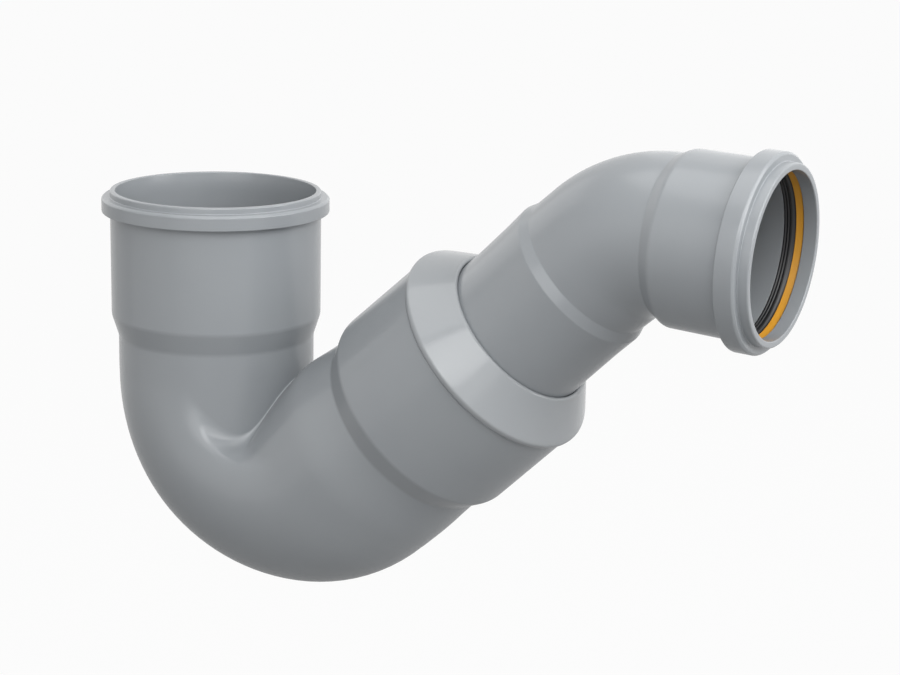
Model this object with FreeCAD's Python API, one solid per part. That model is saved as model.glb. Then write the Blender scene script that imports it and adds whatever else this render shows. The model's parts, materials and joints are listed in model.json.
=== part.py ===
"""Bell mouth trap of grey PVC-U: a U-shaped trap body with a plain bell mouth inlet for 110 mm
pipe, and a 45 degree outlet elbow for 82 mm pipe that swivels in a rubber seal under a conical cap.

Millimetres. +Z up along the inlet's axis; the trap bends in the XZ plane and its outlet runs to +X.
The origin is on the inlet's axis at the stop that the 110 mm pipe's end comes to rest on.
"""

import FreeCAD
import Part
import math
import os

from FreeCAD import Vector

# The two pipes that the trap joins
inlet_pipe_radius = 55.0
outlet_pipe_radius = 41.2

# Walls of the two mouldings
body_wall = 3.4
elbow_wall = 3.3

# Bell mouth inlet
inlet_clearance = 0.5
inlet_wall = 3.7
inlet_depth = 70.8
mouth_depth = 7.6
mouth_flare = 0.8
rim_chamfer = 0.6
inlet_lip_height = 3.6
inlet_band_height = 8.4
inlet_band_rise = 4.7
band_chamfer = 1.2
inlet_cone_height = 12.0

# Neck and U bend: each offset moves a swell towards the throat, so the outside runs on smoothly
neck_oversize = 0.4
neck_length = 10.3
neck_blend_length = 10.0
bend_swell = 1.6
bend_offset = 1.3
throat_radius = 0.3
leg_angle = 43.0

# Rising leg and its outlet socket, which narrows a little towards its mouth
leg_swell = 1.2
leg_offset = 0.2
leg_blend_length = 14.0
leg_length = 48.0
leg_taper = 1.5
leg_cone_length = 11.5
leg_socket_step = 3.4
leg_socket_draft = 0.8
leg_socket_length = 55.4
seat_depth = 17.2
seat_height = 3.0
seat_width = 2.6
seat_chamfer = 1.0

# Conical cap that closes the socket round the elbow's spigot
cap_overhang = 0.6
cap_rim_height = 4.4
cap_rim_chamfer = 2.0
cap_cone_height = 18.0
cap_wall = 2.4
cap_skirt_wall = 2.3
cap_skirt_depth = 11.6
cap_hole_clearance = 0.7

# Rubber seal between the socket and the spigot
seal_running_gap = 0.3
seal_foot_width = 5.6
seal_web_thickness = 2.8
seal_collar_wall = 2.9
seal_collar_reach = 12.0
seal_lip_length = 3.0
seal_lip_depth = 1.2

# Outlet elbow
spigot_oversize = 2.6
spigot_insertion = 31.2
spigot_lead_in = 3.0
spigot_lead_depth = 1.2
spigot_show = 47.2
spigot_step_length = 5.8
spigot_step = 1.3
elbow_run_in = 11.9
elbow_bend_radius = 50.1
elbow_angle = 45.0

# Outlet ring seal socket
outlet_cone_length = 7.0
outlet_clearance = 0.4
outlet_wall = 3.9
outlet_socket_depth = 52.4
outlet_lip_height = 5.3
outlet_band_length = 11.0
outlet_band_rise = 4.7
outlet_land_clearance = 0.8
groove_wall = 3.3
groove_front_wall = 2.0
groove_rear_wall = 1.8
relief_length = 3.2
relief_depth = 1.2

# Outlet seal and the ring that holds it in its groove
seal_free_gap = 0.15
outlet_lip_depth = 0.9
outlet_tongue_length = 2.8
clamp_ring_length = 3.4
clamp_ring_front_width = 2.9
clamp_ring_front_step = 0.7

# Radii that follow from the pipes and the walls
inlet_bore_radius = inlet_pipe_radius + inlet_clearance
inlet_outer_radius = inlet_bore_radius + inlet_wall
inlet_band_radius = inlet_outer_radius + inlet_band_rise
neck_outer_radius = inlet_pipe_radius + neck_oversize
bend_outer_radius = neck_outer_radius + bend_swell
leg_outer_radius = bend_outer_radius + leg_swell
leg_socket_outer_radius = leg_outer_radius + leg_socket_step
leg_socket_bore_radius = leg_socket_outer_radius - leg_socket_draft / 2 - body_wall
spigot_outer_radius = outlet_pipe_radius + spigot_oversize
elbow_outer_radius = spigot_outer_radius - spigot_step
outlet_bore_radius = outlet_pipe_radius + outlet_clearance
outlet_outer_radius = outlet_bore_radius + outlet_wall
outlet_band_radius = outlet_outer_radius + outlet_band_rise
outlet_land_radius = outlet_pipe_radius + outlet_land_clearance
groove_radius = outlet_band_radius - groove_wall

# Heights on the inlet's axis, counted from the pipe stop
rim_height = inlet_depth
band_top = rim_height - inlet_lip_height
band_bottom = band_top - inlet_band_height
neck_top = -inlet_cone_height
neck_bottom = neck_top - neck_length
bend_top = neck_bottom - neck_blend_length

# The U bend, from under the neck to the foot of the rising leg
leg_rise = math.radians(leg_angle)
leg_direction = Vector(math.cos(leg_rise), 0, math.sin(leg_rise))
below_leg = Vector(math.sin(leg_rise), 0, -math.cos(leg_rise))
bend_radius = bend_outer_radius + throat_radius
bend_start = Vector(bend_offset, 0, bend_top)
bend_centre = bend_start + Vector(bend_radius, 0, 0)
bend_end = bend_centre + below_leg * bend_radius
leg_foot = bend_end - below_leg * leg_offset

# Distances up the leg, counted from its foot
leg_socket_foot = leg_length + leg_cone_length
leg_socket_mouth = leg_socket_foot + leg_socket_length
seat_top = leg_socket_mouth - seat_depth
seat_bottom = seat_top - seat_height
cap_shoulder = leg_socket_mouth + cap_rim_height
cap_top = cap_shoulder + cap_cone_height
cap_skirt_end = leg_socket_mouth - cap_skirt_depth
spigot_end = leg_socket_mouth - spigot_insertion
spigot_step_start = cap_top + spigot_show
spigot_step_end = spigot_step_start + spigot_step_length
elbow_start_distance = spigot_step_end + elbow_run_in

# The elbow: its bend turns down from the leg's direction
outlet_rise = leg_rise - math.radians(elbow_angle)
outlet_direction = Vector(math.cos(outlet_rise), 0, math.sin(outlet_rise))
below_outlet = Vector(math.sin(outlet_rise), 0, -math.cos(outlet_rise))
elbow_start = leg_foot + leg_direction * elbow_start_distance
elbow_centre = elbow_start + below_leg * elbow_bend_radius
elbow_end = elbow_centre - below_outlet * elbow_bend_radius

# Distances along the outlet, counted from the elbow's end
outlet_rim = outlet_cone_length + outlet_socket_depth
outlet_band_front = outlet_rim - outlet_lip_height
outlet_band_rear = outlet_band_front - outlet_band_length
groove_front = outlet_band_front - groove_front_wall
groove_rear = outlet_band_rear + groove_rear_wall
relief_rear = groove_rear - relief_length
clamp_ring_rear = groove_front - clamp_ring_length


def turned(corners):
    """Solid turned about the Z axis from an outline of corners (radius, height)."""
    points = [Vector(radius, 0, height) for radius, height in corners]
    outline = Part.makePolygon(points + points[:1])
    return Part.Face(outline).revolve(Vector(0, 0, 0), Vector(0, 0, 1), 360)


def bar(corners, bottom, top):
    """Solid turned from an open run of corners, closed to the axis at its two ends."""
    return turned([(0, bottom)] + corners + [(0, top)])


def placed(shape, base, direction):
    """Copy of a shape turned about Z, set with its axis on a direction from a base point."""
    turn = FreeCAD.Rotation(Vector(0, 1, 0), math.degrees(math.atan2(direction.x, direction.z)))
    moved = shape.copy()
    moved.Placement = FreeCAD.Placement(base, turn).multiply(moved.Placement)
    return moved


def disc_outline(centre, direction, radius):
    """Round outline across a direction."""
    return Part.Wire([Part.makeCircle(radius, centre, direction)])


def bent(start, direction, radius, centre, turning_axis, angle):
    """Round bar bent about a centre."""
    section = Part.Face(disc_outline(start, direction, radius))
    return section.revolve(centre, turning_axis, angle)


def blend(first, last):
    """Bar with straight sides between two parallel round outlines."""
    return Part.makeLoft([first, last], True, True)


def fused(shapes):
    """One solid from shapes that meet face to face."""
    whole = shapes[0].multiFuse(shapes[1:]).removeSplitter()
    return whole.Solids[0]


def u_bend(inset):
    """Bar from the neck through the U bend to the leg, smaller all round by an inset."""
    down = Vector(0, 0, -1)
    neck_outline = disc_outline(Vector(0, 0, neck_bottom), down, neck_outer_radius - inset)
    start_outline = disc_outline(bend_start, down, bend_outer_radius - inset)
    end_outline = disc_outline(bend_end, leg_direction, bend_outer_radius - inset)
    leg_start = leg_foot + leg_direction * leg_blend_length
    leg_outline = disc_outline(leg_start, leg_direction, leg_outer_radius - inset)
    turn = bent(
        bend_start, down, bend_outer_radius - inset,
        bend_centre, Vector(0, -1, 0), 90 + leg_angle,
    )
    return [blend(neck_outline, start_outline), turn, blend(end_outline, leg_outline)]


def inlet_outside():
    """Neck, cone, socket, bead and lip of the bell mouth."""
    return bar([
        (neck_outer_radius, neck_bottom),
        (neck_outer_radius, neck_top),
        (inlet_outer_radius, 0),
        (inlet_outer_radius, band_bottom),
        (inlet_band_radius, band_bottom),
        (inlet_band_radius, band_top - band_chamfer),
        (inlet_band_radius - band_chamfer, band_top),
        (inlet_outer_radius, band_top),
        (inlet_outer_radius, rim_height - rim_chamfer),
        (inlet_outer_radius - rim_chamfer, rim_height),
    ], neck_bottom, rim_height)


def inlet_inside():
    """Bore for the inlet pipe, its flared mouth and the neck's bore."""
    return bar([
        (neck_outer_radius - body_wall, neck_bottom),
        (neck_outer_radius - body_wall, neck_top),
        (inlet_bore_radius, 0),
        (inlet_bore_radius, rim_height - mouth_depth),
        (inlet_bore_radius + mouth_flare, rim_height),
    ], neck_bottom, rim_height)


def leg_outside():
    """Rising leg, its cone and its outlet socket."""
    return bar([
        (leg_outer_radius, leg_blend_length),
        (leg_outer_radius - leg_taper, leg_length),
        (leg_socket_outer_radius, leg_socket_foot),
        (leg_socket_outer_radius - leg_socket_draft, leg_socket_mouth),
    ], leg_blend_length, leg_socket_mouth)


def leg_inside():
    """Water-way of the leg and the socket's bore, with the seat that the seal rests on."""
    seat_radius = leg_socket_bore_radius - seat_width
    return bar([
        (leg_outer_radius - body_wall, leg_blend_length),
        (leg_outer_radius - leg_taper - body_wall, leg_length),
        (leg_socket_bore_radius, leg_socket_foot),
        (leg_socket_bore_radius, seat_bottom - seat_chamfer),
        (seat_radius, seat_bottom),
        (seat_radius, seat_top),
        (leg_socket_bore_radius, seat_top),
        (leg_socket_bore_radius, leg_socket_mouth),
    ], leg_blend_length, leg_socket_mouth)


def trap_body():
    """Inlet socket, neck, U bend, leg and outlet socket, moulded in one piece."""
    outside = fused(
        [inlet_outside()] + u_bend(0) + [placed(leg_outside(), leg_foot, leg_direction)]
    )
    inside = fused(
        [inlet_inside()] + u_bend(body_wall) + [placed(leg_inside(), leg_foot, leg_direction)]
    )
    return outside.cut(inside).Solids[0]


def socket_cap():
    """Conical cap: its skirt plugs into the socket and its rim laps the socket's end."""
    rim_radius = leg_socket_outer_radius + cap_overhang
    hole_radius = spigot_outer_radius + cap_hole_clearance
    top_radius = hole_radius + cap_wall
    skirt_radius = leg_socket_bore_radius - cap_skirt_wall
    slope = math.atan2(rim_radius - cap_rim_chamfer - top_radius, cap_cone_height)
    wall_drop = cap_wall / math.sin(slope)
    return turned([
        (skirt_radius, cap_skirt_end),
        (leg_socket_bore_radius, cap_skirt_end),
        (leg_socket_bore_radius, leg_socket_mouth),
        (rim_radius, leg_socket_mouth),
        (rim_radius, cap_shoulder - cap_rim_chamfer),
        (rim_radius - cap_rim_chamfer, cap_shoulder),
        (top_radius, cap_top),
        (hole_radius, cap_top),
        (hole_radius, cap_top - wall_drop),
        (skirt_radius, leg_socket_mouth),
    ])


def spigot_seal():
    """Rubber ring clamped on the socket's seat by the cap's skirt, with two lips on the spigot."""
    lip_radius = spigot_outer_radius + seal_running_gap
    root_radius = lip_radius + seal_lip_depth
    collar_radius = lip_radius + seal_collar_wall
    foot_radius = leg_socket_bore_radius - seal_foot_width
    web_bottom = (seat_top + cap_skirt_end - seal_web_thickness) / 2
    web_top = web_bottom + seal_web_thickness
    collar_top = web_bottom + seal_collar_reach
    return turned([
        (leg_socket_bore_radius, seat_top),
        (leg_socket_bore_radius, cap_skirt_end),
        (foot_radius, cap_skirt_end),
        (foot_radius, web_top),
        (collar_radius, web_top),
        (collar_radius, collar_top),
        (lip_radius, collar_top),
        (root_radius, collar_top - seal_lip_length),
        (root_radius, web_bottom + seal_lip_length),
        (lip_radius, web_bottom),
        (foot_radius, web_bottom),
        (foot_radius, seat_top),
    ])


def spigot_outside():
    """Plain spigot with its lead-in, and the step down to the elbow."""
    return bar([
        (spigot_outer_radius - spigot_lead_depth, spigot_end),
        (spigot_outer_radius, spigot_end + spigot_lead_in),
        (spigot_outer_radius, spigot_step_start),
        (elbow_outer_radius, spigot_step_end),
        (elbow_outer_radius, elbow_start_distance),
    ], spigot_end, elbow_start_distance)


def spigot_inside():
    """Water-way of the spigot, one wall inside it."""
    return bar([
        (spigot_outer_radius - elbow_wall, spigot_end),
        (spigot_outer_radius - elbow_wall, spigot_step_start),
        (elbow_outer_radius - elbow_wall, spigot_step_end),
        (elbow_outer_radius - elbow_wall, elbow_start_distance),
    ], spigot_end, elbow_start_distance)


def socket_outside():
    """Cone, barrel, seal band and lip of the outlet socket."""
    return bar([
        (elbow_outer_radius, 0),
        (outlet_outer_radius, outlet_cone_length),
        (outlet_outer_radius, outlet_band_rear),
        (outlet_band_radius, outlet_band_rear),
        (outlet_band_radius, outlet_band_front - band_chamfer),
        (outlet_band_radius - band_chamfer, outlet_band_front),
        (outlet_outer_radius, outlet_band_front),
        (outlet_outer_radius, outlet_rim - rim_chamfer),
        (outlet_outer_radius - rim_chamfer, outlet_rim),
    ], 0, outlet_rim)


def socket_inside():
    """Pipe stop, bore, relief, seal groove and land of the outlet socket."""
    relief_radius = outlet_bore_radius + relief_depth
    return bar([
        (elbow_outer_radius - elbow_wall, 0),
        (outlet_bore_radius, outlet_cone_length),
        (outlet_bore_radius, relief_rear - relief_depth),
        (relief_radius, relief_rear),
        (relief_radius, groove_rear),
        (groove_radius, groove_rear),
        (groove_radius, groove_front),
        (outlet_land_radius, groove_front),
        (outlet_land_radius, outlet_rim - rim_chamfer),
        (outlet_land_radius + rim_chamfer, outlet_rim),
    ], 0, outlet_rim)


def elbow_turn(radius):
    """Round bar along the elbow's bend."""
    return bent(
        elbow_start, leg_direction, radius,
        elbow_centre, Vector(0, 1, 0), elbow_angle,
    )


def outlet_elbow():
    """Spigot, 45 degree bend and ring seal socket, moulded in one piece."""
    outside = fused([
        placed(spigot_outside(), leg_foot, leg_direction),
        elbow_turn(elbow_outer_radius),
        placed(socket_outside(), elbow_end, outlet_direction),
    ])
    inside = fused([
        placed(spigot_inside(), leg_foot, leg_direction),
        elbow_turn(elbow_outer_radius - elbow_wall),
        placed(socket_inside(), elbow_end, outlet_direction),
    ])
    return outside.cut(inside).Solids[0]


def outlet_seal():
    """Rubber lip ring in the outlet's groove, with a tongue that points into the socket."""
    lip_radius = outlet_bore_radius + seal_free_gap
    root_radius = lip_radius + outlet_lip_depth
    tongue_radius = outlet_bore_radius + relief_depth
    tongue_end = groove_rear - outlet_tongue_length
    middle = (tongue_end + clamp_ring_rear) / 2
    return turned([
        (groove_radius, clamp_ring_rear),
        (groove_radius, groove_rear),
        (tongue_radius, groove_rear),
        (tongue_radius, tongue_end),
        (lip_radius, tongue_end),
        (root_radius, middle),
        (lip_radius, middle),
        (root_radius, clamp_ring_rear),
    ])


def seal_clamp_ring():
    """Hard ring in front of the outlet seal, with a conical face towards the mouth."""
    inner_radius = outlet_bore_radius + seal_free_gap
    front_radius = groove_radius - clamp_ring_front_width
    return turned([
        (inner_radius, clamp_ring_rear),
        (groove_radius, clamp_ring_rear),
        (groove_radius, groove_front),
        (front_radius, groove_front),
        (inner_radius, clamp_ring_rear + clamp_ring_front_step),
    ])


os.makedirs("parts", exist_ok=True)
nodes = {
    "trap_body": trap_body(),
    "socket_cap": placed(socket_cap(), leg_foot, leg_direction),
    "spigot_seal": placed(spigot_seal(), leg_foot, leg_direction),
    "outlet_elbow": outlet_elbow(),
    "outlet_seal": placed(outlet_seal(), elbow_end, outlet_direction),
    "seal_clamp_ring": placed(seal_clamp_ring(), elbow_end, outlet_direction),
}
for name, shape in nodes.items():
    shape.exportStep(f"parts/{name}.step")
    print(name, len(shape.Solids), shape.isValid(), round(shape.Volume))
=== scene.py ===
"""Looks of a grey PVC-U bell mouth trap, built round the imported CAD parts.

The pieces' sizes are in millimetres and turn to metres where a mesh is made. Floor, lamps and
camera are placed in metres. The inlet's axis is +Z, and the trap lies in the XZ plane with its
outlet towards +X.
"""

import json
import math

import bpy
from mathutils import Matrix, Vector


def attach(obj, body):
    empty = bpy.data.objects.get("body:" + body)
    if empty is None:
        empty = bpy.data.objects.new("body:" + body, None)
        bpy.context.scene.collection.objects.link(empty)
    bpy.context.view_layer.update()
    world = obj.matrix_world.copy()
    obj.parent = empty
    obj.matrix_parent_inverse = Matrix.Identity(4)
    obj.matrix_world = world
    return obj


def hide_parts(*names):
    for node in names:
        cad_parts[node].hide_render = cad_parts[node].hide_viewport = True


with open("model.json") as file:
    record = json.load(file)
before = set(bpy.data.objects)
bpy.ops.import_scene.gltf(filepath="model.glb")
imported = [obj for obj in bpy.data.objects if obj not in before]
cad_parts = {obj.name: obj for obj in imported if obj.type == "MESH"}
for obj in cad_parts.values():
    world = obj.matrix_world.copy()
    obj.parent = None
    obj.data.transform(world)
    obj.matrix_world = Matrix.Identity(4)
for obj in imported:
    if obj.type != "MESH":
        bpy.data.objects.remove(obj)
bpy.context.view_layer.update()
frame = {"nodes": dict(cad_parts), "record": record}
bpy.ops.object.select_all(action="DESELECT")

# Trap body
# The real piece is one injection moulding of grey PVC-U: bell mouth inlet, neck, U bend, rising leg
# and the socket that the cap closes. Its two cores meet in the throat and leave a crease that fades
# down the sides. It is drawn as one ring, pulled along the outside and back along the water-way.
mm = 0.001
ring_points = 144
smooth_below = 35

inlet_bore = frame["record"]["mounts"][0]["dims"]["r_mm"]
inlet_outer = inlet_bore + 3.7
inlet_band = inlet_outer + 4.7
inlet_rim = 70.8
mouth_depth = 7.6
mouth_flare = 0.8
lip_height = 3.6
band_height = 8.4
band_chamfer = 1.2
inlet_cone = 12.0
neck_outer = 55.4
neck_end = -22.3
body_wall = 3.4
bend_top = -32.3
bend_outside = 114.45
bend_waver = 0.55
waver_middle = 42.0
waver_length = 85.0
leg_turn = 133.0
leg_offset = 57.1
leg_start = 58.8
leg_start_lift = 0.8
# Distance up the leg, then its radius below and its radius on the throat's side.
leg_swell = [
    (16.0, 58.1, 60.3), (21.0, 58.0, 60.0), (26.0, 57.8, 59.3), (31.0, 57.5, 58.5),
    (36.0, 57.2, 57.8), (41.0, 57.0, 57.1), (47.2, 56.8, 56.3),
]
leg_cone_end = 59.5
leg_socket = 61.7
leg_socket_mouth = 60.5
leg_mouth = 114.9
seat_top = 97.7
seat_height = 3.0
seat_width = 2.6
seat_root = 1.0
neck_rings = 4
bend_rings = 40
leg_rings = 6

bend_centre = Vector((58.6, 0, bend_top))
to_leg = Vector((math.sin(math.radians(leg_turn - 90)), 0, -math.cos(math.radians(leg_turn - 90))))
leg_direction = Vector((-to_leg.z, 0, to_leg.x))
leg_foot = bend_centre + to_leg * leg_offset


def inlet_ring(height, radius, edge=0.0):
    """Ring round the inlet's axis: centre, turn, radius and how far its edge is rounded."""
    return Vector((0, 0, height)), 0.0, radius, edge


def leg_ring(distance, radius, edge=0.0, lift=0.0):
    """Ring round the leg's axis, turned with the leg and lifted towards the throat."""
    return leg_foot + leg_direction * distance - to_leg * lift, leg_turn, radius, edge


def swelled_ring(distance, below, above, inset, edge=0.0):
    """Ring of the leg that stands out further on the throat's side than below."""
    return leg_ring(distance, (below + above) / 2 - inset, edge, (above - below) / 2)


def bend_ring(share, inset):
    """Ring of the U bend, whose radius grows from the neck's to the leg's along it."""
    turn = leg_turn * share
    radius = neck_outer + (leg_start - neck_outer) * share
    waver = bend_waver * math.cos(math.tau * (turn - waver_middle) / waver_length)
    outward = Vector((-math.cos(math.radians(turn)), 0, -math.sin(math.radians(turn))))
    reach = bend_outside + waver - radius
    return bend_centre + outward * reach, turn, radius - inset, 0.0


def bend_line(inset):
    """Rings from the neck's end round the bend and up to the leg's widest place."""
    line = [
        inlet_ring(neck_end + (bend_top - neck_end) * index / neck_rings, neck_outer - inset)
        for index in range(neck_rings)
    ]
    line += [bend_ring(index / bend_rings, inset) for index in range(bend_rings + 1)]
    distance, below, above = leg_swell[0]
    for index in range(1, leg_rings + 1):
        share = index / leg_rings
        line.append(swelled_ring(
            distance * share,
            leg_start - leg_start_lift + (below - leg_start + leg_start_lift) * share,
            leg_start + leg_start_lift + (above - leg_start - leg_start_lift) * share,
            inset,
        ))
    return line


def pull(here, there):
    """Extrudes the selected ring from one place to the next."""
    centre, turn, radius, _ = there
    move = (centre - here[0]) * mm
    bpy.ops.mesh.extrude_edges_move(TRANSFORM_OT_translate={"value": move})
    if turn != here[1]:
        bpy.ops.transform.rotate(
            value=math.radians(turn - here[1]), orient_axis="Y", center_override=centre * mm
        )
    if radius != here[2]:
        growth = radius / here[2]
        bpy.ops.transform.resize(value=(growth, growth, growth), center_override=centre * mm)


def shell(name, rings):
    """Closed shell through rings that run along its outside and back along its inside."""
    centre, turn, radius, _ = rings[0]
    bpy.ops.mesh.primitive_circle_add(
        vertices=ring_points, radius=radius * mm,
        location=centre * mm, rotation=(0, -math.radians(turn), 0),
    )
    piece = bpy.context.object
    piece.name = name
    piece.data.name = name
    bpy.ops.object.transform_apply(location=True, rotation=True, scale=True)
    bpy.ops.object.mode_set(mode="EDIT")
    bpy.ops.mesh.select_all(action="SELECT")
    for here, there in zip(rings, rings[1:]):
        pull(here, there)
    bpy.ops.mesh.select_all(action="DESELECT")
    bpy.ops.object.mode_set(mode="OBJECT")
    last = len(rings) - 1
    for vertex in piece.data.vertices:
        vertex.select = vertex.index // ring_points in (0, last)
    bpy.ops.object.mode_set(mode="EDIT")
    bpy.ops.mesh.bridge_edge_loops()
    bpy.ops.mesh.select_all(action="SELECT")
    bpy.ops.mesh.normals_make_consistent(inside=False)
    bpy.ops.object.mode_set(mode="OBJECT")
    return piece


def round_edges(piece, rings, segments=3):
    """Rounds each ring's edge as far as the ring says, then shades the piece smooth."""
    widest = max(ring[3] for ring in rings)
    weights = piece.data.attributes.new("bevel_weight_edge", "FLOAT", "EDGE")
    for edge in piece.data.edges:
        first, second = (index // ring_points for index in edge.vertices)
        if first == second:
            weights.data[edge.index].value = rings[first][3] / widest
    bpy.context.view_layer.objects.active = piece
    bevel = piece.modifiers.new("rounding", "BEVEL")
    bevel.limit_method = "WEIGHT"
    bevel.width = widest * mm
    bevel.segments = segments
    bpy.ops.object.modifier_apply(modifier=bevel.name)
    bpy.ops.object.shade_smooth_by_angle(angle=math.radians(smooth_below))
    normals = piece.modifiers.new("normals", "WEIGHTED_NORMAL")
    normals.keep_sharp = True
    bpy.ops.object.modifier_apply(modifier=normals.name)
    piece.select_set(False)


def ease(share):
    """Smooth step from 0 to 1."""
    share = min(max(share, 0.0), 1.0)
    return share * share * (3 - 2 * share)


# The crease's own sizes: how deep it dips below the plain meeting line and how that fades with the
# angle in degrees, how tightly it turns in the middle, and how it opens into an arc further round.
crease_dip = 2.0
dip_per_degree = 0.27
dip_blunt = 3
dip_whole_until = 28
dip_fade = 32
crease_leg = 58.6
crease_reach = 1.2
opens_from = 22
opens_over = 52
neck_kept = 10


def throat_line(around, inset):
    """Points down the neck, round the throat and up the leg, at one angle from the throat's middle.
    In the middle they turn sharply, in a crease, and further round in an ever wider arc."""
    angle = abs(math.degrees(around))
    neck = neck_outer - inset
    centre, _, radius, _ = swelled_ring(*leg_swell[0], inset)
    start = Vector((neck * math.cos(around), -neck * math.sin(around), neck_end))
    end = centre - to_leg * radius * math.cos(around)
    end.y = -radius * math.sin(around)
    dip = crease_dip - dip_per_degree * (math.hypot(angle, dip_blunt) - dip_blunt)
    dip *= 1 - ease((angle - dip_whole_until) / dip_fade)
    leg = crease_leg - inset
    rise = (start.x - leg_foot.x) * leg_direction.z + math.sqrt(leg ** 2 - start.y ** 2)
    crease = Vector((start.x, start.y, leg_foot.z + rise / leg_direction.x + dip))
    down = (crease - start).normalized()
    up = (end - crease).normalized()
    widest = min((crease - start).length - neck_kept, (end - crease).length - leg_swell[0][0])
    widening = max(widest, crease_reach) - crease_reach
    reach = crease_reach + widening * ease((angle - opens_from) / opens_over)
    first = crease - down * reach
    last = crease + up * reach
    half_turn = down.angle(up) / 2
    arc_centre = crease + (up - down).normalized() * reach / math.sin(half_turn)
    spoke = first - arc_centre
    axis = spoke.cross(last - arc_centre)
    line = [start.lerp(first, index / neck_rings) for index in range(neck_rings)]
    for index in range(bend_rings + 1):
        arc_turn = Matrix.Rotation(2 * half_turn * index / bend_rings, 3, axis)
        line.append(arc_centre + arc_turn @ spoke)
    line += [last.lerp(end, index / leg_rings) for index in range(1, leg_rings + 1)]
    return line


def fold_throat(piece, first_ring, inset, backwards):
    """Moves the throat's side of the bend's rings on to the throat's own lines of points. The
    further a point is round the pipe, the less it moves."""
    whole_until = 60
    none_from = 88
    for point in range(ring_points):
        rim = piece.data.vertices[point].co
        around = math.atan2(-rim.y, rim.x)
        share = 1 - ease((abs(math.degrees(around)) - whole_until) / (none_from - whole_until))
        if share == 0:
            continue
        line = throat_line(around, inset)
        if backwards:
            line.reverse()
        for index, place in enumerate(line):
            vertex = piece.data.vertices[(first_ring + index) * ring_points + point]
            vertex.co = vertex.co.lerp(place * mm, share)


trap_outline = [
    inlet_ring(inlet_rim, inlet_outer, 0.9),
    inlet_ring(inlet_rim - lip_height, inlet_outer, 0.5),
    inlet_ring(inlet_rim - lip_height, inlet_band - band_chamfer, 0.4),
    inlet_ring(inlet_rim - lip_height - band_chamfer, inlet_band, 0.4),
    inlet_ring(inlet_rim - lip_height - band_height, inlet_band, 0.6),
    inlet_ring(inlet_rim - lip_height - band_height, inlet_outer, 0.8),
    inlet_ring(0, inlet_outer, 1.4),
    inlet_ring(-inlet_cone, neck_outer, 1.4),
]
outside_bend = len(trap_outline)
trap_outline += bend_line(0)
trap_outline += [swelled_ring(*place, 0) for place in leg_swell[1:-1]]
trap_outline += [
    swelled_ring(*leg_swell[-1], 0, 1.2),
    leg_ring(leg_cone_end, leg_socket, 1.4),
    leg_ring(leg_mouth, leg_socket_mouth, 0.5),
    leg_ring(leg_mouth, leg_socket_mouth - body_wall, 0.2),
    leg_ring(seat_top, leg_socket_mouth - body_wall),
    leg_ring(seat_top, leg_socket_mouth - body_wall - seat_width, 0.4),
    leg_ring(seat_top - seat_height, leg_socket_mouth - body_wall - seat_width, 0.4),
    leg_ring(seat_top - seat_height - seat_root, leg_socket_mouth - body_wall),
    leg_ring(leg_cone_end, leg_socket_mouth - body_wall, 2.0),
    swelled_ring(*leg_swell[-1], body_wall, 2.0),
]
trap_outline += [swelled_ring(*place, body_wall) for place in reversed(leg_swell[1:-1])]
inside_bend = len(trap_outline)
trap_outline += reversed(bend_line(body_wall))
trap_outline += [
    inlet_ring(-inlet_cone, neck_outer - body_wall, 1.4),
    inlet_ring(0, inlet_bore, 1.4),
    inlet_ring(inlet_rim - mouth_depth, inlet_bore, 3.0),
    inlet_ring(inlet_rim, inlet_bore + mouth_flare, 0.5),
]
trap = shell("trap_moulding", trap_outline)
fold_throat(trap, outside_bend, 0, False)
fold_throat(trap, inside_bend, body_wall, True)
round_edges(trap, trap_outline)
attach(trap, "trap")
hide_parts("trap_body")


def srgb(colour, alpha=1.0):
    """Linear colour of an sRGB hex value."""
    channels = [int(colour[place:place + 2], 16) / 255 for place in (1, 3, 5)]
    linear = [c / 12.92 if c <= 0.04045 else ((c + 0.055) / 1.055) ** 2.4 for c in channels]
    return (*linear, alpha)


def add_node(tree, kind, options=None, values=None, links=None):
    """Node of a kind, with its options, the values of its sockets and the outputs that feed them."""
    added = tree.nodes.new(kind)
    for name, value in (options or {}).items():
        setattr(added, name, value)
    for socket, value in (values or {}).items():
        added.inputs[socket].default_value = value
    for socket, output in (links or {}).items():
        tree.links.new(output, added.inputs[socket])
    return added


def new_material(name):
    """Empty node material: its node tree and its shader."""
    material = bpy.data.materials.new(name)
    material.use_nodes = True
    tree = material.node_tree
    return material, tree, tree.nodes["Principled BSDF"]


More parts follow.
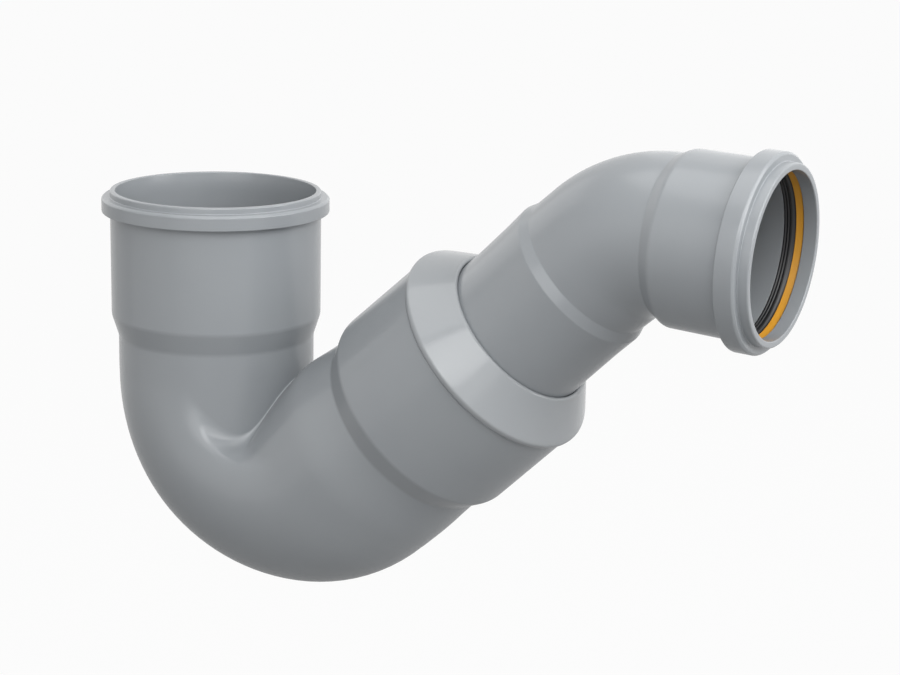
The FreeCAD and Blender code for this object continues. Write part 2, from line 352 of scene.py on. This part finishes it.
def moulded_pvc(name, dark, light, glossiest, dullest):
    """Injection moulded PVC-U: satin, with a faint cloudiness from the melt's flow and a very fine
    texture from the mould, which softens its highlights. The real texture is finer than a pixel and
    is drawn coarser."""
    cloud_size = 45
    skin_size = 1.6
    skin_depth = 0.12
    material, tree, shader = new_material(name)
    place = add_node(tree, "ShaderNodeTexCoord")
    cloud = add_node(
        tree, "ShaderNodeTexNoise",
        values={"Scale": 1000 / cloud_size, "Detail": 2.0, "Roughness": 0.45},
        links={"Vector": place.outputs["Object"]},
    )
    tint = add_node(
        tree, "ShaderNodeMix", {"data_type": "RGBA"},
        links={"Factor": cloud.outputs["Fac"]},
    )
    tint.inputs[6].default_value = srgb(dark)
    tint.inputs[7].default_value = srgb(light)
    tree.links.new(tint.outputs[2], shader.inputs["Base Color"])
    gloss = add_node(
        tree, "ShaderNodeMapRange",
        values={"To Min": glossiest, "To Max": dullest},
        links={"Value": cloud.outputs["Fac"]},
    )
    tree.links.new(gloss.outputs["Result"], shader.inputs["Roughness"])
    skin = add_node(
        tree, "ShaderNodeTexNoise",
        values={"Scale": 1000 / skin_size, "Detail": 1.0},
        links={"Vector": place.outputs["Object"]},
    )
    bump = add_node(
        tree, "ShaderNodeBump",
        values={"Strength": 0.06, "Distance": skin_depth * mm},
        links={"Height": skin.outputs["Fac"]},
    )
    tree.links.new(bump.outputs["Normal"], shader.inputs["Normal"])
    shader.inputs["IOR"].default_value = 1.52
    return material


grey_pvc = moulded_pvc("moulded_grey_pvc", "#8f9397", "#969a9d", 0.2, 0.26)
trap.data.materials.append(grey_pvc)

# Outlet elbow
# One moulding of the same grey PVC-U: a spigot that stands in the trap's socket, a step, a 45 degree
# bend and a ring seal socket, whose bead hides the groove for the rubber. It turns in the cap.
elbow_direction = Vector(frame["record"]["mounts"][1]["axis"])
elbow_wall = 3.0
spigot_outer = 43.8
spigot_turning = spigot_outer - 0.3
spigot_neck = 43.15
spigot_lean = 0.0285
lean_start = 140.0
neck_from = 148.0
neck_to = 170.0
spigot_end = 83.7
spigot_lead = 3.0
spigot_lead_depth = 1.2
step_start = 184.5
step_end = 190.3
step_foot = spigot_neck + 0.4
elbow_outer = 41.4
elbow_start = 202.2
elbow_radius = 50.1
elbow_lift = 1.1
elbow_angle = 45
elbow_rings = 20
outlet_cone_start = 0.8
outlet_cone = 7.0
outlet_bore = frame["record"]["mounts"][1]["dims"]["r_mm"]
outlet_outer = outlet_bore + 3.9
outlet_draft = 0.5
outlet_lift = 0.5
outlet_rim = 59.4
outlet_lip = 5.3
outlet_band = outlet_outer + 4.7
band_front = outlet_rim - outlet_lip
band_rear = band_front - 11.0
groove_front = band_front - 2.0
groove_rear = band_rear + 1.8
groove_radius = outlet_band - 3.3
relief_rear = groove_rear - 3.2
relief_depth = 1.2
land_radius = 42.0

elbow_centre = leg_foot + leg_direction * elbow_start + to_leg * elbow_radius
elbow_base_turn = leg_turn - 180
outlet_turn = elbow_base_turn - elbow_angle
outlet_foot = elbow_centre - Vector((
    math.cos(math.radians(outlet_turn)), 0, math.sin(math.radians(outlet_turn))
)) * elbow_radius
lift_direction = (outlet_foot - elbow_centre).normalized()


def spigot_ring(distance, radius, edge=0.0):
    """Ring of the spigot, turned so that the elbow's bend can follow. Above the cap the moulding
    leans a little towards the throat's side, as its core was drawn."""
    lean = spigot_lean * max(distance - lean_start, 0)
    return leg_foot + leg_direction * distance - to_leg * lean, elbow_base_turn, radius, edge


def elbow_ring(share, radius):
    """Ring of the elbow's bend."""
    turn = elbow_base_turn - elbow_angle * share
    inward = Vector((math.cos(math.radians(turn)), 0, math.sin(math.radians(turn))))
    return elbow_centre - inward * (elbow_radius + elbow_lift), turn, radius, 0.0


def outlet_ring(distance, radius, edge=0.0, lift=0.0):
    """Ring round the outlet's axis, lifted towards the bend's outer side."""
    return outlet_foot + elbow_direction * distance + lift_direction * lift, outlet_turn, radius, edge


elbow_outline = [
    spigot_ring(spigot_end, spigot_outer - spigot_lead_depth, 0.4),
    spigot_ring(spigot_end + spigot_lead, spigot_outer, 0.6),
    spigot_ring(leg_mouth, spigot_turning),
    spigot_ring(lean_start, spigot_turning),
    spigot_ring(neck_from, spigot_neck),
    spigot_ring(neck_to, spigot_neck),
    spigot_ring(step_start, step_foot, 0.5),
    spigot_ring(step_end, elbow_outer, 0.5),
]
elbow_outline += [elbow_ring(index / elbow_rings, elbow_outer) for index in range(elbow_rings + 1)]
elbow_outline += [
    outlet_ring(outlet_cone_start, elbow_outer, 0.6, elbow_lift),
    outlet_ring(outlet_cone, outlet_outer - outlet_draft, 1.2, outlet_lift),
    outlet_ring(band_rear, outlet_outer - outlet_draft / 2, 0.8, outlet_lift / 2),
    outlet_ring(band_rear, outlet_band, 1.0),
    outlet_ring(band_front - band_chamfer, outlet_band, 0.5),
    outlet_ring(band_front, outlet_band - band_chamfer, 0.4),
    outlet_ring(band_front, outlet_outer, 0.5),
    outlet_ring(outlet_rim, outlet_outer, 0.9),
    outlet_ring(outlet_rim, land_radius, 0.6),
    outlet_ring(groove_front, land_radius, 0.3),
    outlet_ring(groove_front, groove_radius, 0.5),
    outlet_ring(groove_rear, groove_radius, 0.5),
    outlet_ring(groove_rear, outlet_bore + relief_depth, 0.2),
    outlet_ring(relief_rear, outlet_bore + relief_depth, 0.2),
    outlet_ring(relief_rear, outlet_bore, 0.1),
    outlet_ring(outlet_cone, outlet_bore, 0.5),
]
elbow_outline += [
    elbow_ring(1 - index / elbow_rings, elbow_outer - elbow_wall) for index in range(elbow_rings + 1)
]
elbow_outline += [
    spigot_ring(step_end, elbow_outer - elbow_wall, 0.5),
    spigot_ring(step_start, spigot_neck - elbow_wall, 0.5),
    spigot_ring(lean_start, spigot_neck - elbow_wall),
    spigot_ring(spigot_end, spigot_outer - elbow_wall, 0.4),
]
elbow = shell("elbow_moulding", elbow_outline)
round_edges(elbow, elbow_outline)
elbow.data.materials.append(grey_pvc)
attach(elbow, "outlet_bend")
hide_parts("outlet_elbow")

# Socket cap
# A conical ring of grey PVC-U, slightly lighter and glossier than the other mouldings, that closes
# the trap's socket. Its rim laps the socket's end with a rounded edge, its skirt plugs in and clamps
# the rubber, and the elbow's spigot turns in its hole.
cap_shoulder = leg_mouth + 4.4
cap_top = cap_shoulder + 18.0
cap_rim = 62.2
cap_tuck = 1.2
cap_tuck_end = leg_mouth + 1.3
cap_draft = 0.2
cap_round_start = cap_shoulder - 0.8
cap_round_end = cap_shoulder + 0.1
cap_round_depth = 0.7
seam = 0.3
cap_hole = spigot_outer - 0.05
cap_wall = 2.0
cap_skirt = leg_socket_mouth - body_wall
cap_skirt_wall = 2.3
cap_skirt_end = leg_mouth - 11.6
cap_slope = math.atan2(cap_rim - cap_tuck - cap_hole - cap_wall, cap_top - cap_shoulder)

cap_outline = [
    leg_ring(leg_mouth + seam, cap_skirt),
    leg_ring(leg_mouth + seam, cap_rim - cap_tuck, 0.3),
    leg_ring(cap_tuck_end, cap_rim - cap_draft, 0.9),
    leg_ring(cap_round_start, cap_rim, 0.6),
    leg_ring(cap_round_end, cap_rim - cap_round_depth, 0.5),
    leg_ring(cap_top, cap_hole + cap_wall, 0.7),
    leg_ring(cap_top, cap_hole, 0.9),
    leg_ring(cap_top - cap_wall / math.sin(cap_slope), cap_hole, 0.3),
    leg_ring(leg_mouth, cap_skirt - cap_skirt_wall, 0.5),
    leg_ring(cap_skirt_end, cap_skirt - cap_skirt_wall, 0.3),
    leg_ring(cap_skirt_end, cap_skirt, 0.3),
]
cap = shell("cap_moulding", cap_outline)
round_edges(cap, cap_outline)
cap_pvc = moulded_pvc("moulded_cap_pvc", "#94989b", "#9b9ea1", 0.15, 0.19)
cap.data.materials.append(cap_pvc)
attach(cap, "trap")
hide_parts("socket_cap")

# Rubber seals
# Black EPDM rings. The outlet's ring sits in the groove under the bead and shows two fine ribs and
# a shallow hollow inside the mouth. The trap's own ring, shut in under the cap, keeps its CAD shape.
seal_gap = 0.15
fit_gap = 0.1
rib_count = 2
rib_height = 0.35
rib_pitch = 1.5
rib_profile = [(0.0, 0.0), (0.4, rib_height), (0.7, rib_height), (1.1, 0.0)]
clamp_rear = groove_front - 4.2
tongue_end = relief_rear + fit_gap
tongue_radius = outlet_bore + relief_depth - fit_gap
seal_inner = outlet_bore + seal_gap
seal_outer = groove_radius - fit_gap
first_rib = tongue_end + 0.8
hollow_start = groove_rear + 1.4
hollow_middle = (groove_rear + clamp_rear) / 2 + 0.8
hollow_depth = 1.0

seal_outline = [
    outlet_ring(clamp_rear, seal_outer),
    outlet_ring(groove_rear + fit_gap, seal_outer, 0.3),
    outlet_ring(groove_rear + fit_gap, tongue_radius, 0.2),
    outlet_ring(tongue_end, tongue_radius, 0.2),
    outlet_ring(tongue_end, seal_inner, 0.1),
]
for rib in range(rib_count):
    rib_start = first_rib + rib * rib_pitch
    for along, height in rib_profile:
        seal_outline.append(outlet_ring(rib_start + along, seal_inner + height, 0.2))
seal_outline += [
    outlet_ring(hollow_start, seal_inner + 0.2, 0.4),
    outlet_ring(hollow_middle, seal_inner + hollow_depth, 0.6),
    outlet_ring(clamp_rear, seal_inner + hollow_depth, 0.1),
]
seal = shell("outlet_lip_seal", seal_outline)
round_edges(seal, seal_outline, segments=2)
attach(seal, "outlet_bend")
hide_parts("outlet_seal")


def moulded_rubber(name, colour):
    """Moulded EPDM: near black and smooth where it left the mould, with a soft wide sheen that a
    slight bloom makes uneven."""
    bloom_size = 6
    material, tree, shader = new_material(name)
    place = add_node(tree, "ShaderNodeTexCoord")
    bloom = add_node(
        tree, "ShaderNodeTexNoise",
        values={"Scale": 1000 / bloom_size, "Detail": 3.0},
        links={"Vector": place.outputs["Object"]},
    )
    gloss = add_node(
        tree, "ShaderNodeMapRange",
        values={"To Min": 0.3, "To Max": 0.5},
        links={"Value": bloom.outputs["Fac"]},
    )
    tree.links.new(gloss.outputs["Result"], shader.inputs["Roughness"])
    shader.inputs["Base Color"].default_value = srgb(colour)
    shader.inputs["IOR"].default_value = 1.5
    return material


rubber = moulded_rubber("moulded_black_epdm", "#1b1c1e")
seal.data.materials.append(rubber)
hidden_seal = frame["nodes"]["spigot_seal"]
hidden_seal.data.materials.clear()
hidden_seal.data.materials.append(rubber)

# Clamp ring
# A hard yellow plastic ring pressed in front of the outlet's rubber. Only its conical face shows,
# with a thin dark joint on each side of it.
ring_inner = seal_inner + 0.6
ring_front = groove_front - 0.5
ring_cone = 0.6
ring_outline = [
    outlet_ring(clamp_rear + fit_gap, ring_inner, 0.2),
    outlet_ring(clamp_rear + fit_gap, seal_outer),
    outlet_ring(ring_front, seal_outer),
    outlet_ring(ring_front, ring_inner + ring_cone, 0.2),
]
clamp_ring = shell("yellow_clamp_ring", ring_outline)
round_edges(clamp_ring, ring_outline, segments=2)


def moulded_yellow(name, colour):
    """Moulded polypropylene, coloured through, with a satin surface that the melt's flow makes
    slightly uneven."""
    flow_size = 12
    material, tree, shader = new_material(name)
    place = add_node(tree, "ShaderNodeTexCoord")
    flow = add_node(
        tree, "ShaderNodeTexNoise",
        values={"Scale": 1000 / flow_size, "Detail": 2.0},
        links={"Vector": place.outputs["Object"]},
    )
    gloss = add_node(
        tree, "ShaderNodeMapRange",
        values={"To Min": 0.35, "To Max": 0.5},
        links={"Value": flow.outputs["Fac"]},
    )
    tree.links.new(gloss.outputs["Result"], shader.inputs["Roughness"])
    shader.inputs["Base Color"].default_value = srgb(colour)
    return material


clamp_ring.data.materials.append(moulded_yellow("moulded_yellow_plastic", "#d99a2b"))
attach(clamp_ring, "outlet_bend")
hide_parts("seal_clamp_ring")

# Floor and studio light
# A plain white floor well under the trap, a white surround, and soft lamps on all sides, of which
# the one on the right is the strongest.
floor_drop = 0.45
floor_size = 30
floor_white = 0.96
ambient = 0.12
lamp_distance = 1.5
bpy.ops.mesh.primitive_plane_add(size=floor_size, location=(0, 0, -floor_drop))
floor = bpy.context.object
floor.name = "studio_floor"

# The floor's grey is only what it throws back on the trap. The camera sees it nearly white, and in
# the plastic's reflections it is darker close under the trap than further out: a painted shade that
# stands in for the trap's shadow on the floor.
floor_material, floor_tree, floor_shader = new_material("white_floor")
floor_shader.inputs["Base Color"].default_value = srgb("#9a9a9a")
floor_shader.inputs["Roughness"].default_value = 0.9
rays = add_node(floor_tree, "ShaderNodeLightPath")
glow = add_node(floor_tree, "ShaderNodeEmission", values={"Color": (1, 1, 1, 1), "Strength": 1.0})
to_camera = add_node(
    floor_tree, "ShaderNodeMath", {"operation": "MULTIPLY"}, {1: floor_white},
    {0: rays.outputs["Is Camera Ray"]},
)
floor_place = add_node(floor_tree, "ShaderNodeTexCoord")
floor_distance = add_node(
    floor_tree, "ShaderNodeVectorMath", {"operation": "LENGTH"},
    links={0: floor_place.outputs["Object"]},
)
# Painted shade: the floor's brightness in reflections falls towards the trap, in place of the trap's
# own shadow.
painted_shade_in_reflections = add_node(
    floor_tree, "ShaderNodeMapRange",
    values={"From Min": 0.3, "From Max": 1.4, "To Min": 0.15, "To Max": 0.85},
    links={"Value": floor_distance.outputs["Value"]},
)
to_gloss = add_node(
    floor_tree, "ShaderNodeMath", {"operation": "MULTIPLY"},
    links={0: rays.outputs["Is Glossy Ray"], 1: painted_shade_in_reflections.outputs["Result"]},
)
shown = add_node(
    floor_tree, "ShaderNodeMath", {"operation": "MAXIMUM"},
    links={0: to_camera.outputs[0], 1: to_gloss.outputs[0]},
)
blend = add_node(
    floor_tree, "ShaderNodeMixShader",
    links={0: shown.outputs[0], 1: floor_shader.outputs[0], 2: glow.outputs[0]},
)
floor_tree.links.new(blend.outputs[0], floor_tree.nodes["Material Output"].inputs["Surface"])
floor.data.materials.append(floor_material)

world = bpy.data.worlds.new("white_surround")
bpy.context.scene.world = world
world.use_nodes = True
world_tree = world.node_tree
surround = world_tree.nodes["Background"]
world_rays = add_node(world_tree, "ShaderNodeLightPath")
seen = add_node(
    world_tree, "ShaderNodeMath", {"operation": "MAXIMUM"},
    links={0: world_rays.outputs["Is Camera Ray"], 1: world_rays.outputs["Is Glossy Ray"]},
)
level = add_node(
    world_tree, "ShaderNodeMapRange", values={"To Min": ambient, "To Max": 1.0},
    links={"Value": seen.outputs[0]},
)
world_tree.links.new(level.outputs["Result"], surround.inputs["Strength"])
surround.inputs["Color"].default_value = (1, 1, 1, 1)


def softbox(name, azimuth, elevation, size, power):
    """Square lamp that looks at the trap's middle. Azimuth 0 lies on -Y and 90 on +X."""
    middle = Vector((0.13, 0, -0.01))
    side = math.radians(azimuth)
    height = math.radians(elevation)
    back = Vector((
        math.sin(side) * math.cos(height), -math.cos(side) * math.cos(height), math.sin(height)
    ))
    bpy.ops.object.light_add(type="AREA", location=middle + back * lamp_distance)
    lamp = bpy.context.object
    lamp.name = name
    lamp.rotation_euler = (-back).to_track_quat("-Z", "Y").to_euler()
    lamp.data.size = size
    lamp.data.energy = power


# Name, azimuth and elevation in degrees, size in metres and power in watts.
lamps = [
    ("window_light", 100, 26, 1.2, 16),
    ("side_light", 68, 30, 1.0, 4),
    ("high_light", 33, 40, 0.85, 8),
    ("low_light", 10, 18, 1.2, 6.5),
    ("top_light", 30, 86, 1.4, 9),
    ("back_light", 172, 26, 1.8, 3),
    ("left_light", -100, 24, 1.0, 2),
    ("front_fill", -45, 6, 1.2, 1.5),
]
for lamp_values in lamps:
    softbox(*lamp_values)

# Camera
# Where the photograph was taken from: its direction, distance, lens and slight roll were fitted to
# the rims and outlines that it shows.
target = Vector((0.15021, 0.00743, 0.00511))
camera_back = Vector((0.48724, -0.83823, 0.24489))
camera_distance = 1.12812
camera_roll = 1.322
camera_lens = 83.764
camera_sensor = 36
bpy.ops.object.camera_add(location=target + camera_back * camera_distance)
camera = bpy.context.object
camera.name = "photo_camera"
camera.data.lens = camera_lens
camera.data.sensor_width = camera_sensor
aim = (-camera_back).to_track_quat("-Z", "Y")
camera.rotation_euler = aim.to_euler()
camera.rotation_euler.rotate_axis("Z", math.radians(camera_roll))
bpy.context.scene.camera = camera
bpy.context.scene.view_settings.view_transform = "Standard"
